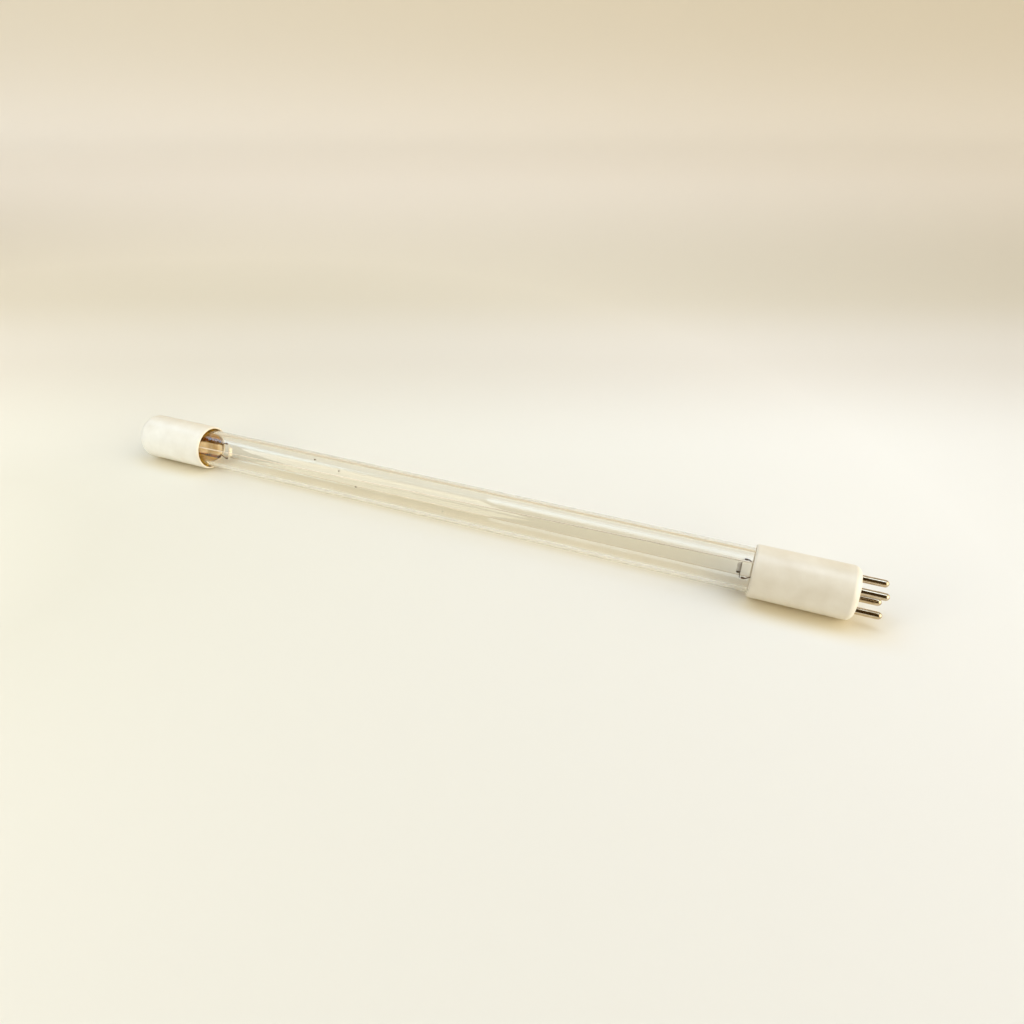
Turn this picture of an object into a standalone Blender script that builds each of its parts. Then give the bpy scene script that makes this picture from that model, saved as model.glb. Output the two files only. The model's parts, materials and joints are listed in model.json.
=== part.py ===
"""Single-ended four-pin germicidal lamp, lying on its two caps.

The lamp's axis runs along X with the pins towards +X, and +Z is up. The origin is on the
surface below the middle of the lamp. Lengths are in metres and angles in degrees.
"""

import math

import bmesh
import bpy
from mathutils import Matrix, Vector

for old in list(bpy.data.objects):
    bpy.data.objects.remove(old, do_unlink=True)

# Driving dimensions: the glass tube
TUBE_DIAMETER = 0.0150
TUBE_WALL = 0.0015
VISIBLE_GLASS = 0.2175

# The two caps, which share one section
CAP_LENGTH = 0.0308
CAP_WALL = 0.00075
CAP_END_WALL = 0.0032
CAP_FILLET = 0.0025
LIP_LENGTH = 0.0006
LIP_DEPTH = 0.0003
INNER_FILLET = 0.0006
BASE_LENGTH = 0.0320
BASE_FACE = 0.0040

# The four pins stand on a rectangle, turned about the axis
PIN_DIAMETER = 0.0024
PIN_REACH = 0.0083
PIN_SPACING_ACROSS = 0.00635
PIN_SPACING_UP = 0.00792
PIN_TURN = 2.0
PIN_CLEARANCE = 0.0001
PIN_FLANGE_RIM = 0.0005
PIN_FLANGE_THICKNESS = 0.0008
PIN_TAIL_LENGTH = 0.0025
PIN_TAIL_WALL = 0.0004
PIN_CUP_DEPTH = 0.0018

# The glass stems that carry the electrodes
STEM_LENGTH = 0.0200
STEM_DIAMETER = 0.0072
STEM_WALL = 0.0007
FLARE_LENGTH = 0.0060
PRESS_LENGTH = 0.0060
PRESS_THICKNESS_SHARE = 0.42
PRESS_WIDTH_SHARE = 1.12
EXHAUST_DIAMETER = 0.0024
EXHAUST_REACH = 0.0032

# Electrodes: stiff lead wires and the coil between them
LEAD_DIAMETER = 0.0004
LEAD_PITCH = 0.0043
LEAD_REACH = 0.0037
LEAD_TIP_PITCH = 0.0062
LEAD_TIP_SWELL = 1.8
LEAD_TIP_LENGTH = 0.0009
LEAD_OUTER_REACH = 0.0032
COIL_AHEAD = 0.0012
COIL_LENGTH = 0.0036
COIL_DIAMETER = 0.0014
COIL_WIRE = 0.0002
COIL_TURNS = 10
FAR_ELECTRODE_TURN = -20.0

# Room for the wiring between the glass and the closed end, and the glass and the pins
FAR_WIRING_ROOM = 0.0120
BASE_WIRING_ROOM = 0.00358

# The two return wires lie on the glass at these angles from straight up, towards -Y
WIRE_DIAMETER = 0.0004
FRONT_WIRE_FAR_ANGLE = 59.3
FRONT_WIRE_BASE_ANGLE = 35.5
BACK_WIRE_ANGLE = -148.0

# Basing cement between glass and cap
CEMENT_INSET = 0.0006
CEMENT_LENGTH = 0.0140
CEMENT_WIRE_ROOM = 8.0

MERCURY_DIAMETER = 0.0006
MERCURY_FROM_BASE_MOUTH = 0.1117

# Clearances: wire to its neighbours, fused or cemented seams, wire in its bore
WIRE_CLEARANCE = 0.0001
SEAM = 0.00012
LEAD_CLEARANCE = 0.00015

# Facets round the big turned pieces, the stems and the pins
SIDES = 48
STEM_SIDES = 24
PIN_SIDES = 16
ARC_STEPS = 4
BEND_STEPS = 4
WIRE_BEVEL_STEPS = 1

# Radii that follow from the sizes above
tube_radius = TUBE_DIAMETER / 2
bore_radius = tube_radius - TUBE_WALL
cap_bore = tube_radius + WIRE_DIAMETER + 2 * WIRE_CLEARANCE
cap_radius = cap_bore + CAP_WALL
pin_radius = PIN_DIAMETER / 2
wire_radius = WIRE_DIAMETER / 2
lead_radius = LEAD_DIAMETER / 2
wire_path_radius = tube_radius + WIRE_CLEARANCE + wire_radius
flange_radius = pin_radius + PIN_FLANGE_RIM
tail_radius = pin_radius - PIN_FLANGE_RIM / 4
cup_radius = tail_radius - PIN_TAIL_WALL

# Stations along the axis, from the closed cap to the pin tips
overall_length = CAP_LENGTH + VISIBLE_GLASS + BASE_LENGTH + PIN_REACH
closed_end_x = -overall_length / 2
cap_mouth_x = closed_end_x + CAP_LENGTH
base_mouth_x = cap_mouth_x + VISIBLE_GLASS
pin_face_x = base_mouth_x + BASE_LENGTH
flange_front = -BASE_FACE - SEAM
flange_back = flange_front - PIN_FLANGE_THICKNESS
tail_end = flange_back - PIN_TAIL_LENGTH
pin_cup_mouth_x = pin_face_x + tail_end
pin_cup_floor_x = pin_cup_mouth_x + PIN_CUP_DEPTH
far_glass_end_x = closed_end_x + CAP_END_WALL + FAR_WIRING_ROOM
base_glass_end_x = pin_cup_mouth_x - BASE_WIRING_ROOM

# A flat of each cap lies on the surface, so the axis is one flat's distance above it
axis_height = cap_radius * math.cos(math.pi / SIDES)


def principled(name, color, roughness, metallic=0.0, transmission=0.0):
    """A material with one Principled BSDF."""
    material = bpy.data.materials.new(name)
    material.use_nodes = True
    shader = material.node_tree.nodes["Principled BSDF"]
    shader.inputs["Base Color"].default_value = (*color, 1.0)
    shader.inputs["Roughness"].default_value = roughness
    shader.inputs["Metallic"].default_value = metallic
    shader.inputs["Transmission Weight"].default_value = transmission
    shader.inputs["IOR"].default_value = 1.46
    return material


def link(name, data, material, parent, location=(0, 0, 0)):
    """Put mesh or curve data into the scene as one named sub-part."""
    data.materials.append(material)
    piece = bpy.data.objects.new(name, data)
    bpy.context.collection.objects.link(piece)
    piece.parent = parent
    piece.location = location
    return piece


def arc(centre_x, centre_r, radius, start, end, steps):
    """Points (x, r) on an arc of a turned profile, angles in degrees from +x."""
    points = []
    for step in range(steps + 1):
        angle = math.radians(start + (end - start) * step / steps)
        points.append((centre_x + radius * math.cos(angle), centre_r + radius * math.sin(angle)))
    return points


def turned_mesh(name, profile, sides, closed=False):
    """Spin a profile of (x, r) points about X, with a flat of the result underneath."""
    mesh = bpy.data.meshes.new(name)
    bm = bmesh.new()
    half_step = math.pi / sides
    ring = []
    for x, r in profile:
        ring.append(bm.verts.new((x, r * math.sin(half_step), -r * math.cos(half_step))))
    edges = [bm.edges.new(pair) for pair in zip(ring, ring[1:])]
    if closed:
        edges.append(bm.edges.new((ring[-1], ring[0])))
    bmesh.ops.spin(bm, geom=ring + edges, axis=(1, 0, 0), cent=(0, 0, 0),
                   angle=2 * math.pi, steps=sides)
    bmesh.ops.remove_doubles(bm, verts=bm.verts, dist=1e-6)
    bmesh.ops.recalc_face_normals(bm, faces=bm.faces)
    bm.to_mesh(mesh)
    bm.free()
    mesh.shade_smooth()
    mesh.set_sharp_from_angle(angle=math.radians(40))
    return mesh


def rods_mesh(name, radius, sides, start_x, end_x, centres):
    """Straight rods along X, one through each (y, z) centre."""
    mesh = bpy.data.meshes.new(name)
    bm = bmesh.new()
    middle = (start_x + end_x) / 2
    for y, z in centres:
        place = Matrix.Translation((middle, y, z)) @ Matrix.Rotation(math.radians(90), 4, "Y")
        bmesh.ops.create_cone(bm, cap_ends=True, segments=sides, radius1=radius, radius2=radius,
                              depth=end_x - start_x, matrix=place)
    bm.to_mesh(mesh)
    bm.free()
    return mesh


def cut(piece, cutter):
    """Take a hidden cutter's shape out of a piece."""
    cutter.hide_render = True
    cutter.display_type = "WIRE"
    boolean = piece.modifiers.new("bores", "BOOLEAN")
    boolean.operation = "DIFFERENCE"
    boolean.solver = "EXACT"
    boolean.object = cutter


def rounded_path(corners, bend):
    """A polyline through the corners, with each inner corner rounded by a quadratic curve."""
    points = [corners[0]]
    for before, corner, after in zip(corners, corners[1:], corners[2:]):
        reach = min(bend, (before - corner).length / 2, (after - corner).length / 2)
        enter = corner + (before - corner).normalized() * reach
        leave = corner + (after - corner).normalized() * reach
        for step in range(BEND_STEPS + 1):
            t = step / BEND_STEPS
            points.append(enter * (1 - t) ** 2 + corner * 2 * t * (1 - t) + leave * t ** 2)
    points.append(corners[-1])
    return points


def wire(name, points, radius, material, parent, swell_from=None):
    """A round wire along the points, thicker from one point on where its end is folded."""
    curve = bpy.data.curves.new(name, "CURVE")
    curve.dimensions = "3D"
    curve.bevel_depth = radius
    curve.bevel_resolution = WIRE_BEVEL_STEPS
    curve.use_fill_caps = True
    spline = curve.splines.new("POLY")
    spline.points.add(len(points) - 1)
    for index, (knot, point) in enumerate(zip(spline.points, points)):
        knot.co = (*point, 1.0)
        if swell_from is not None and index >= swell_from:
            knot.radius = LEAD_TIP_SWELL
    return link(name, curve, material, parent)


def around(x, radius, angle):
    """A point at a distance from the axis, at an angle from straight up towards -Y."""
    turn = math.radians(angle)
    return Vector((x, -radius * math.sin(turn), radius * math.cos(turn)))


quartz = principled("quartz", (0.93, 0.94, 0.93), 0.02, transmission=1.0)
ceramic = principled("ceramic", (0.86, 0.83, 0.76), 0.45)
cement = principled("cement", (0.45, 0.33, 0.14), 0.9)
pin_plating = principled("pin_plating", (0.72, 0.66, 0.56), 0.2, metallic=1.0)
nickel_wire = principled("nickel_wire", (0.62, 0.56, 0.47), 0.35, metallic=1.0)
lead_metal = principled("lead_metal", (0.33, 0.28, 0.22), 0.4, metallic=1.0)
coil_coating = principled("coil_coating", (0.75, 0.72, 0.66), 0.7)
mercury = principled("mercury", (0.75, 0.75, 0.76), 0.05, metallic=1.0)

# The whole lamp hangs on its axis
lamp_axis = bpy.data.objects.new("lamp_axis", None)
bpy.context.collection.objects.link(lamp_axis)
lamp_axis.location = (0, 0, axis_height)


# Quartz tube: a plain length of thick-walled tube, its ends hidden in the caps
tube_length = base_glass_end_x - far_glass_end_x
tube_section = [(0, bore_radius), (0, tube_radius), (tube_length, tube_radius), (tube_length, bore_radius)]
link("quartz_tube", turned_mesh("quartz_tube", tube_section, SIDES, closed=True), quartz,
     lamp_axis, (far_glass_end_x, 0, 0))


def shell_profile(length, end_wall):
    """A cup from the middle of its end wall, along the outside to the mouth and back inside."""
    fillet = min(CAP_FILLET, end_wall)
    inner = min(INNER_FILLET, CAP_WALL)
    profile = [(0, 0)]
    profile += arc(fillet, cap_radius - fillet, fillet, 180, 90, ARC_STEPS + 2)
    profile += [(length - LIP_LENGTH, cap_radius)]
    profile += [(length - LIP_LENGTH * 0.35, cap_radius - LIP_DEPTH * 0.3)]
    profile += [(length, cap_radius - LIP_DEPTH)]
    profile += [(length, cap_bore)]
    profile += arc(end_wall + inner, cap_bore - inner, inner, 90, 180, 2)
    profile += [(end_wall, 0)]
    return profile


# Far cap: a plain hollow shell with a closed, rounded end
end_cap = link("end_cap", turned_mesh("end_cap", shell_profile(CAP_LENGTH, CAP_END_WALL), SIDES),
               ceramic, lamp_axis, (closed_end_x, 0, 0))

# Pin base: the same shell turned round, with a thicker end wall that the pins pass through
pin_base = link("pin_base", turned_mesh("pin_base", shell_profile(BASE_LENGTH, BASE_FACE), SIDES),
                ceramic, lamp_axis, (pin_face_x, 0, 0))
pin_base.rotation_euler = (0, 0, math.pi)

turn = Matrix.Rotation(math.radians(PIN_TURN), 2)
pin_centres = []
for side_y, side_z in ((-1, 1), (1, 1), (-1, -1), (1, -1)):
    pin_centres.append(turn @ Vector((side_y * PIN_SPACING_ACROSS / 2, side_z * PIN_SPACING_UP / 2)))

pin_bores = link("pin_bores", rods_mesh("pin_bores", pin_radius + PIN_CLEARANCE, PIN_SIDES,
                                        pin_face_x - BASE_FACE * 1.5, pin_face_x + BASE_FACE * 0.5,
                                        pin_centres), ceramic, lamp_axis)
cut(pin_base, pin_bores)

# Pins: a domed shank through the face, a flange behind it and a cup that takes the wire
pin_profile = [(tail_end + PIN_CUP_DEPTH, 0), (tail_end + PIN_CUP_DEPTH, cup_radius),
               (tail_end, cup_radius), (tail_end, tail_radius), (flange_back, tail_radius),
               (flange_back, flange_radius), (flange_front, flange_radius),
               (flange_front, pin_radius)]
pin_profile += arc(PIN_REACH - pin_radius, 0, pin_radius, 90, 0, ARC_STEPS + 1)
pin_mesh = turned_mesh("pin", pin_profile, PIN_SIDES)
pin_mesh.materials.append(pin_plating)
for number, (y, z) in enumerate(pin_centres, start=1):
    pin = bpy.data.objects.new(f"pin_{number}", pin_mesh)
    bpy.context.collection.objects.link(pin)
    pin.parent = lamp_axis
    pin.location = (pin_face_x, y, z)


def stem_mesh(name):
    """A flared glass stem with its exhaust tube, pressed flat where the leads pass through.

    It points along +X from its flare, which is fused to the end of the quartz tube.
    """
    shell = STEM_DIAMETER / 2
    rim = bore_radius - SEAM
    exhaust = EXHAUST_DIAMETER / 2
    press_start = STEM_LENGTH - PRESS_LENGTH
    flare_steps = ARC_STEPS * 2
    outer = []
    for step in range(flare_steps + 1):
        x = FLARE_LENGTH * step / flare_steps
        outer.append((x, shell + (rim - shell) * (1 - x / FLARE_LENGTH) ** 2.4))
    outer_skin = outer + [(press_start - FLARE_LENGTH * 0.4, shell), (press_start, shell),
                          (press_start + PRESS_LENGTH * 0.25, shell), (STEM_LENGTH - STEM_WALL / 2, shell),
                          (STEM_LENGTH, shell - STEM_WALL / 2), (STEM_LENGTH, 0)]
    inner_skin = [(x, r - STEM_WALL) for x, r in outer]
    inner_skin += [(press_start - STEM_WALL, shell - STEM_WALL), (press_start, shell - 2 * STEM_WALL)]
    tube_skin = [(press_start, exhaust), (-EXHAUST_REACH + exhaust * 1.5, exhaust)]
    tube_skin += [(-EXHAUST_REACH + exhaust * 0.5, exhaust * 0.6), (-EXHAUST_REACH, 0)]
    profile = outer_skin[::-1] + inner_skin + tube_skin
    mesh = turned_mesh(name, profile, STEM_SIDES)
    squash_start = press_start - FLARE_LENGTH * 0.4
    squash_end = press_start + PRESS_LENGTH * 0.25
    for vertex in mesh.vertices:
        along = (vertex.co.x - squash_start) / (squash_end - squash_start)
        along = max(0.0, min(1.0, along))
        blend = along * along * (3 - 2 * along)
        vertex.co.y *= 1 - blend * (1 - PRESS_THICKNESS_SHARE)
        vertex.co.z *= 1 - blend * (1 - PRESS_WIDTH_SHARE)
    return mesh


def electrode_frame(name, glass_end_x, towards, angle):
    """Frame at one end of the glass: X into the lamp, Z along the line between the leads."""
    frame = bpy.data.objects.new(name, None)
    bpy.context.collection.objects.link(frame)
    frame.parent = lamp_axis
    frame.location = (glass_end_x, 0, 0)
    frame.rotation_euler = (towards * math.radians(angle), 0, 0 if towards > 0 else math.pi)
    return frame


def frame_matrix(glass_end_x, towards, angle):
    """The same frame as a matrix in the lamp's own axes."""
    flip = Matrix.Rotation(0 if towards > 0 else math.pi, 4, "Z")
    tilt = Matrix.Rotation(towards * math.radians(angle), 4, "X")
    return Matrix.Translation((glass_end_x, 0, 0)) @ flip @ tilt


def lead_inner_corners(side):
    """A lead's way from the flare, through the press, to its folded tip."""
    pitch = side * LEAD_PITCH / 2
    tip = side * LEAD_TIP_PITCH / 2
    tip_x = STEM_LENGTH + LEAD_REACH
    return [Vector((STEM_LENGTH + LEAD_REACH * 0.2, 0, pitch)),
            Vector((tip_x - LEAD_TIP_LENGTH * 1.6, 0, tip)),
            Vector((tip_x - LEAD_TIP_LENGTH, 0, tip)),
            Vector((tip_x, 0, tip))]


def lead(name, outer_corners, side, matrix):
    """A lead wire in the lamp's axes: outer corners, then the way through the stem."""
    inner = [matrix @ corner for corner in lead_inner_corners(side)]
    path = rounded_path(outer_corners + inner[:2], LEAD_DIAMETER * 2)
    swell_from = len(path)
    path += inner[2:]
    wire(name, path, lead_radius, lead_metal, lamp_axis, swell_from)


def filament(name, frame):
    """A coil between the folded tips of the leads, a little ahead of them."""
    coil_x = STEM_LENGTH + LEAD_REACH + COIL_AHEAD
    leg_end_x = STEM_LENGTH + LEAD_REACH + SEAM
    leg_z = LEAD_TIP_PITCH / 2
    radius = (COIL_DIAMETER - COIL_WIRE) / 2
    coil_steps = COIL_TURNS * 8
    coil = []
    for step in range(coil_steps + 1):
        angle = 2 * math.pi * COIL_TURNS * step / coil_steps
        z = -COIL_LENGTH / 2 + COIL_LENGTH * step / coil_steps
        coil.append(Vector((coil_x - radius * math.cos(angle), radius * math.sin(angle), z)))
    leg = [Vector((leg_end_x, 0, -leg_z)), Vector((coil_x - radius, 0, -leg_z)), coil[0]]
    first = rounded_path(leg, COIL_WIRE * 2)[:-1]
    last = [Vector((point.x, point.y, -point.z)) for point in reversed(first)]
    wire(name, first + coil + last, COIL_WIRE / 2, coil_coating, frame)


# Electrodes at both ends, each on its stem
pin_line = math.degrees(math.atan2(PIN_SPACING_ACROSS, PIN_SPACING_UP)) + PIN_TURN
base_electrode_turn = PIN_TURN * 2 - pin_line
lead_bore_centres = [(0, LEAD_PITCH / 2), (0, -LEAD_PITCH / 2)]
electrode_matrix = {}
for end, glass_end_x, towards, angle in (("far", far_glass_end_x, 1, FAR_ELECTRODE_TURN),
                                         ("base", base_glass_end_x, -1, base_electrode_turn)):
    frame = electrode_frame(f"{end}_electrode_frame", glass_end_x, towards, angle)
    electrode_matrix[end] = frame_matrix(glass_end_x, towards, angle)
    stem = link(f"{end}_stem", stem_mesh(f"{end}_stem"), quartz, frame)
    bores = rods_mesh(f"{end}_lead_bores", lead_radius + LEAD_CLEARANCE, PIN_SIDES // 2,
                      STEM_LENGTH - PRESS_LENGTH - STEM_WALL, STEM_LENGTH * 1.05, lead_bore_centres)
    cut(stem, link(f"{end}_lead_bores", bores, quartz, frame))
    filament(f"{end}_filament", frame)

# Far leads: straight back out of the stem, to where the return wires are welded on
for number, side in ((1, 1), (2, -1)):
    outer = electrode_matrix["far"] @ Vector((-LEAD_OUTER_REACH, 0, side * LEAD_PITCH / 2))
    lead(f"far_lead_{number}", [outer], side, electrode_matrix["far"])

# Base leads: out of the stem and into the cups of the pins that stand on their line
cup_end_x = pin_cup_floor_x - SEAM
for number, side, centre in ((1, 1, pin_centres[1]), (2, -1, pin_centres[2])):
    leave = electrode_matrix["base"] @ Vector((0, 0, side * LEAD_PITCH / 2))
    corners = [Vector((cup_end_x, *centre)),
               Vector((pin_cup_mouth_x - BASE_WIRING_ROOM * 0.3, *centre)),
               Vector((base_glass_end_x + BASE_WIRING_ROOM * 0.3, leave.y, leave.z))]
    lead(f"base_lead_{number}", corners, side, electrode_matrix["base"])


def return_wire(name, lead_side, far_angle, base_angle, pin_centre):
    """From the weld on a far lead, out over the glass's end, along the tube and into a pin."""
    beside = wire_radius + lead_radius + WIRE_CLEARANCE
    start_y = -beside if lead_side > 0 else beside
    start_z = lead_side * LEAD_PITCH / 2
    weld = [electrode_matrix["far"] @ Vector((-LEAD_OUTER_REACH * share, start_y, start_z))
            for share in (0.35, 0.8)]
    out_x = far_glass_end_x - WIRE_DIAMETER * 3
    in_x = base_glass_end_x + WIRE_DIAMETER * 3
    far_out = around(out_x, wire_path_radius, far_angle)
    base_out = around(in_x, wire_path_radius, base_angle)
    inside = [Vector((pin_cup_mouth_x - BASE_WIRING_ROOM * 0.3, *pin_centre)),
              Vector((cup_end_x, *pin_centre))]
    begin = rounded_path(weld + [far_out, around(cap_mouth_x, wire_path_radius, far_angle)],
                         WIRE_DIAMETER * 1.5)
    run = []
    run_steps = 10
    for step in range(1, run_steps):
        share = step / run_steps
        x = cap_mouth_x + VISIBLE_GLASS * share
        run.append(around(x, wire_path_radius, far_angle + (base_angle - far_angle) * share))
    finish = rounded_path([around(base_mouth_x, wire_path_radius, base_angle), base_out] + inside,
                          WIRE_DIAMETER * 1.5)
    wire(name, begin + run + finish, wire_radius, nickel_wire, lamp_axis)


return_wire("return_wire_1", 1, FRONT_WIRE_FAR_ANGLE, FRONT_WIRE_BASE_ANGLE, pin_centres[0])
return_wire("return_wire_2", -1, BACK_WIRE_ANGLE, BACK_WIRE_ANGLE, pin_centres[3])


def cement_dab(name, start_x, from_angle, to_angle):
    """A curved slab of cement between the glass and a cap, from one wire to the other."""
    mesh = bpy.data.meshes.new(name)
    bm = bmesh.new()
    steps = round(abs(to_angle - from_angle) / (360 / SIDES))
    inner = tube_radius + SEAM
    outer = cap_bore - SEAM
    section = [(0, inner), (0, outer), (CEMENT_LENGTH, outer), (CEMENT_LENGTH, inner)]
    rings = []
    for step in range(steps + 1):
        angle = from_angle + (to_angle - from_angle) * step / steps
        rings.append([bm.verts.new(around(x, r, angle)) for x, r in section])
    for ring, following in zip(rings, rings[1:]):
        for corner in range(4):
            after = (corner + 1) % 4
            bm.faces.new((ring[corner], ring[after], following[after], following[corner]))
    bm.faces.new(rings[0])
    bm.faces.new(rings[-1])
    bmesh.ops.recalc_face_normals(bm, faces=bm.faces)
    bm.to_mesh(mesh)
    bm.free()
    link(name, mesh, cement, lamp_axis, (start_x, 0, 0))


# Cement: two dabs in each mouth, which leave the wires their way between them
for end, start_x, front in (("far", cap_mouth_x - CEMENT_INSET - CEMENT_LENGTH, FRONT_WIRE_FAR_ANGLE),
                            ("base", base_mouth_x + CEMENT_INSET, FRONT_WIRE_BASE_ANGLE)):
    cement_dab(f"{end}_cement_1", start_x, front - CEMENT_WIRE_ROOM, BACK_WIRE_ANGLE + CEMENT_WIRE_ROOM)
    cement_dab(f"{end}_cement_2", start_x, front + CEMENT_WIRE_ROOM, BACK_WIRE_ANGLE + 360 - CEMENT_WIRE_ROOM)

# Mercury: one bead, loose at the bottom of the bore
bead_mesh = bpy.data.meshes.new("mercury_bead")
bead = bmesh.new()
bmesh.ops.create_icosphere(bead, subdivisions=2, radius=MERCURY_DIAMETER / 2)
bead.to_mesh(bead_mesh)
bead.free()
bead_mesh.shade_smooth()
bore_floor = bore_radius * math.cos(math.pi / SIDES)
link("mercury_bead", bead_mesh, mercury, lamp_axis,
     (base_mouth_x - MERCURY_FROM_BASE_MOUTH, 0, MERCURY_DIAMETER / 2 + SEAM - bore_floor))
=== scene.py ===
"""The looks of a single-ended four-pin germicidal lamp, lying on a pale table."""

import math

import bmesh
import bpy
from mathutils import Matrix, Vector, noise
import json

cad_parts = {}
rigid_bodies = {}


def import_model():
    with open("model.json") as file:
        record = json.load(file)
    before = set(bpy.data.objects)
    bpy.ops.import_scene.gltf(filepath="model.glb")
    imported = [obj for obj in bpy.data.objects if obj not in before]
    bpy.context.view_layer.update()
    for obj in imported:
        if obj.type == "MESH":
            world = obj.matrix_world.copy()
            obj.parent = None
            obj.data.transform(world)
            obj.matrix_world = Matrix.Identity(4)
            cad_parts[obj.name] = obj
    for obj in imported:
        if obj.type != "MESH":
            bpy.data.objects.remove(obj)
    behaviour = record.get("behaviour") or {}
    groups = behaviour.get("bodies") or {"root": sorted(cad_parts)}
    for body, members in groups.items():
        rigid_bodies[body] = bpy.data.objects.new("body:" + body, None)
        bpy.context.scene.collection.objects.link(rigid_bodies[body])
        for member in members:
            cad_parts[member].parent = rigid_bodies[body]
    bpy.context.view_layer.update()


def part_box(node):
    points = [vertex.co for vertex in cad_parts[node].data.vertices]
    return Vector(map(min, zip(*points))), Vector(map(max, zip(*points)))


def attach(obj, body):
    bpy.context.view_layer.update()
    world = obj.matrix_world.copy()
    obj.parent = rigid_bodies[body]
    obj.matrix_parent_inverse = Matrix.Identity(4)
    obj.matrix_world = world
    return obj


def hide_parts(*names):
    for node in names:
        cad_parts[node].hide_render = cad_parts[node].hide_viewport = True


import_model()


# Quartz tube. A plain length of clear fused quartz with a thick wall, drawn as one long tube and
# flame polished where it was cut. It is the lamp's body, and everything else is fixed to it.
tube_low, tube_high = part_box("quartz_tube")
AXIS_HEIGHT = (tube_low.z + tube_high.z) / 2
TUBE_RADIUS = 0.0075
TUBE_WALL = 0.0015
BORE_RADIUS = TUBE_RADIUS - TUBE_WALL
TUBE_SIDES = 512
END_POLISH = 0.0005
END_STRIP = 0.002
FAR_GLASS_END = tube_low.x
BASE_GLASS_END = tube_high.x


def deselect_all():
    """Leave edit mode and let go of every object."""
    if bpy.context.mode != "OBJECT":
        bpy.ops.object.mode_set(mode="OBJECT")
    bpy.ops.object.select_all(action="DESELECT")
    bpy.context.view_layer.objects.active = None


def pick_edges(test):
    """In edit mode, select only the edges that pass a test by place."""
    bpy.ops.mesh.select_mode(type="EDGE")
    bpy.ops.mesh.select_all(action="DESELECT")
    mesh = bmesh.from_edit_mesh(bpy.context.edit_object.data)
    for edge in mesh.edges:
        if test(edge):
            edge.select_set(True)
    mesh.select_flush_mode()
    bmesh.update_edit_mesh(bpy.context.edit_object.data)


def on_ring(x, radius):
    """A test for the edges of one ring of a turned shape."""
    near = 2e-6

    def test(edge):
        return all(abs(v.co.x - x) < near and abs(math.hypot(v.co.y, v.co.z) - radius) < near
                   for v in edge.verts)
    return test


def turn(profile, sides, closed=False):
    """Start a turned shape on X: a circle at the first (x, radius), extruded and resized to each next.

    A closed profile ends where it began, and any other gets a flat face over each end.
    """
    deselect_all()
    x, radius = profile[0]
    bpy.ops.mesh.primitive_circle_add(vertices=sides, radius=radius, location=(x, 0, 0),
                                      rotation=(0, math.pi / 2, 0))
    bpy.ops.object.transform_apply(location=True, rotation=True, scale=True)
    bpy.ops.object.mode_set(mode="EDIT")
    bpy.ops.mesh.select_mode(type="EDGE")
    bpy.ops.mesh.select_all(action="SELECT")
    if closed:
        profile = profile + profile[:1]
    for (x, radius), (next_x, next_radius) in zip(profile, profile[1:]):
        bpy.ops.mesh.extrude_region_move(TRANSFORM_OT_translate={"value": (next_x - x, 0, 0)})
        grow = next_radius / radius
        bpy.ops.transform.resize(value=(1, grow, grow), center_override=(next_x, 0, 0))
    if not closed:
        bpy.ops.mesh.edge_face_add()
        pick_edges(on_ring(*profile[0]))
        bpy.ops.mesh.edge_face_add()
    bpy.ops.mesh.select_all(action="SELECT")
    bpy.ops.mesh.remove_doubles(threshold=1e-7)
    bpy.ops.mesh.normals_make_consistent(inside=False)


def round_ring(x, radius, size, steps):
    """Round one ring edge of a turned shape."""
    pick_edges(on_ring(x, radius))
    bpy.ops.mesh.bevel(offset=size, offset_type="OFFSET", segments=steps, profile=0.5,
                       affect="EDGES", clamp_overlap=False)


def finish_piece(name, place, smooth_angle):
    """Close the edit, put the piece in its place for good, and shade it smooth up to an angle."""
    if bpy.context.mode != "OBJECT":
        bpy.ops.object.mode_set(mode="OBJECT")
    piece = bpy.context.object
    piece.name = name
    piece.matrix_world = place
    bpy.ops.object.transform_apply(location=True, rotation=True, scale=True)
    bpy.ops.object.shade_smooth_by_angle(angle=math.radians(smooth_angle))
    return piece


def linear(code):
    """An sRGB hex colour as the linear RGBA that the nodes take."""
    parts = [int(code[i:i + 2], 16) / 255 for i in (0, 2, 4)]
    return (*[c / 12.92 if c <= 0.04045 else ((c + 0.055) / 1.055) ** 2.4 for c in parts], 1.0)


def new_material(name):
    """A node material with its Principled shader."""
    material = bpy.data.materials.new(name)
    material.use_nodes = True
    return material, material.node_tree.nodes["Principled BSDF"]


def add_node(material, kind, settings, links):
    """Add a node, give it its settings by name, and link its inputs to other nodes' outputs."""
    tree = material.node_tree
    made = tree.nodes.new(kind)
    for key, value in settings.items():
        if isinstance(key, str) and hasattr(made, key):
            setattr(made, key, value)
        else:
            made.inputs[key].default_value = value
    for key, output in links.items():
        tree.links.new(output, made.inputs[key])
    return made


tube_length = BASE_GLASS_END - FAR_GLASS_END
turn([(0, BORE_RADIUS), (0, TUBE_RADIUS), (tube_length, TUBE_RADIUS), (tube_length, BORE_RADIUS)],
     TUBE_SIDES, closed=True)
for end in (0, tube_length):
    for ring_radius in (BORE_RADIUS, TUBE_RADIUS):
        round_ring(end, ring_radius, END_POLISH, 5)
for cut_x in (END_STRIP, tube_length - END_STRIP):
    bpy.ops.mesh.select_all(action="SELECT")
    bpy.ops.mesh.bisect(plane_co=(cut_x, 0, 0), plane_no=(1, 0, 0))
tube = finish_piece("clear_tube", Matrix.Translation((FAR_GLASS_END, 0, AXIS_HEIGHT)), 80)

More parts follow.
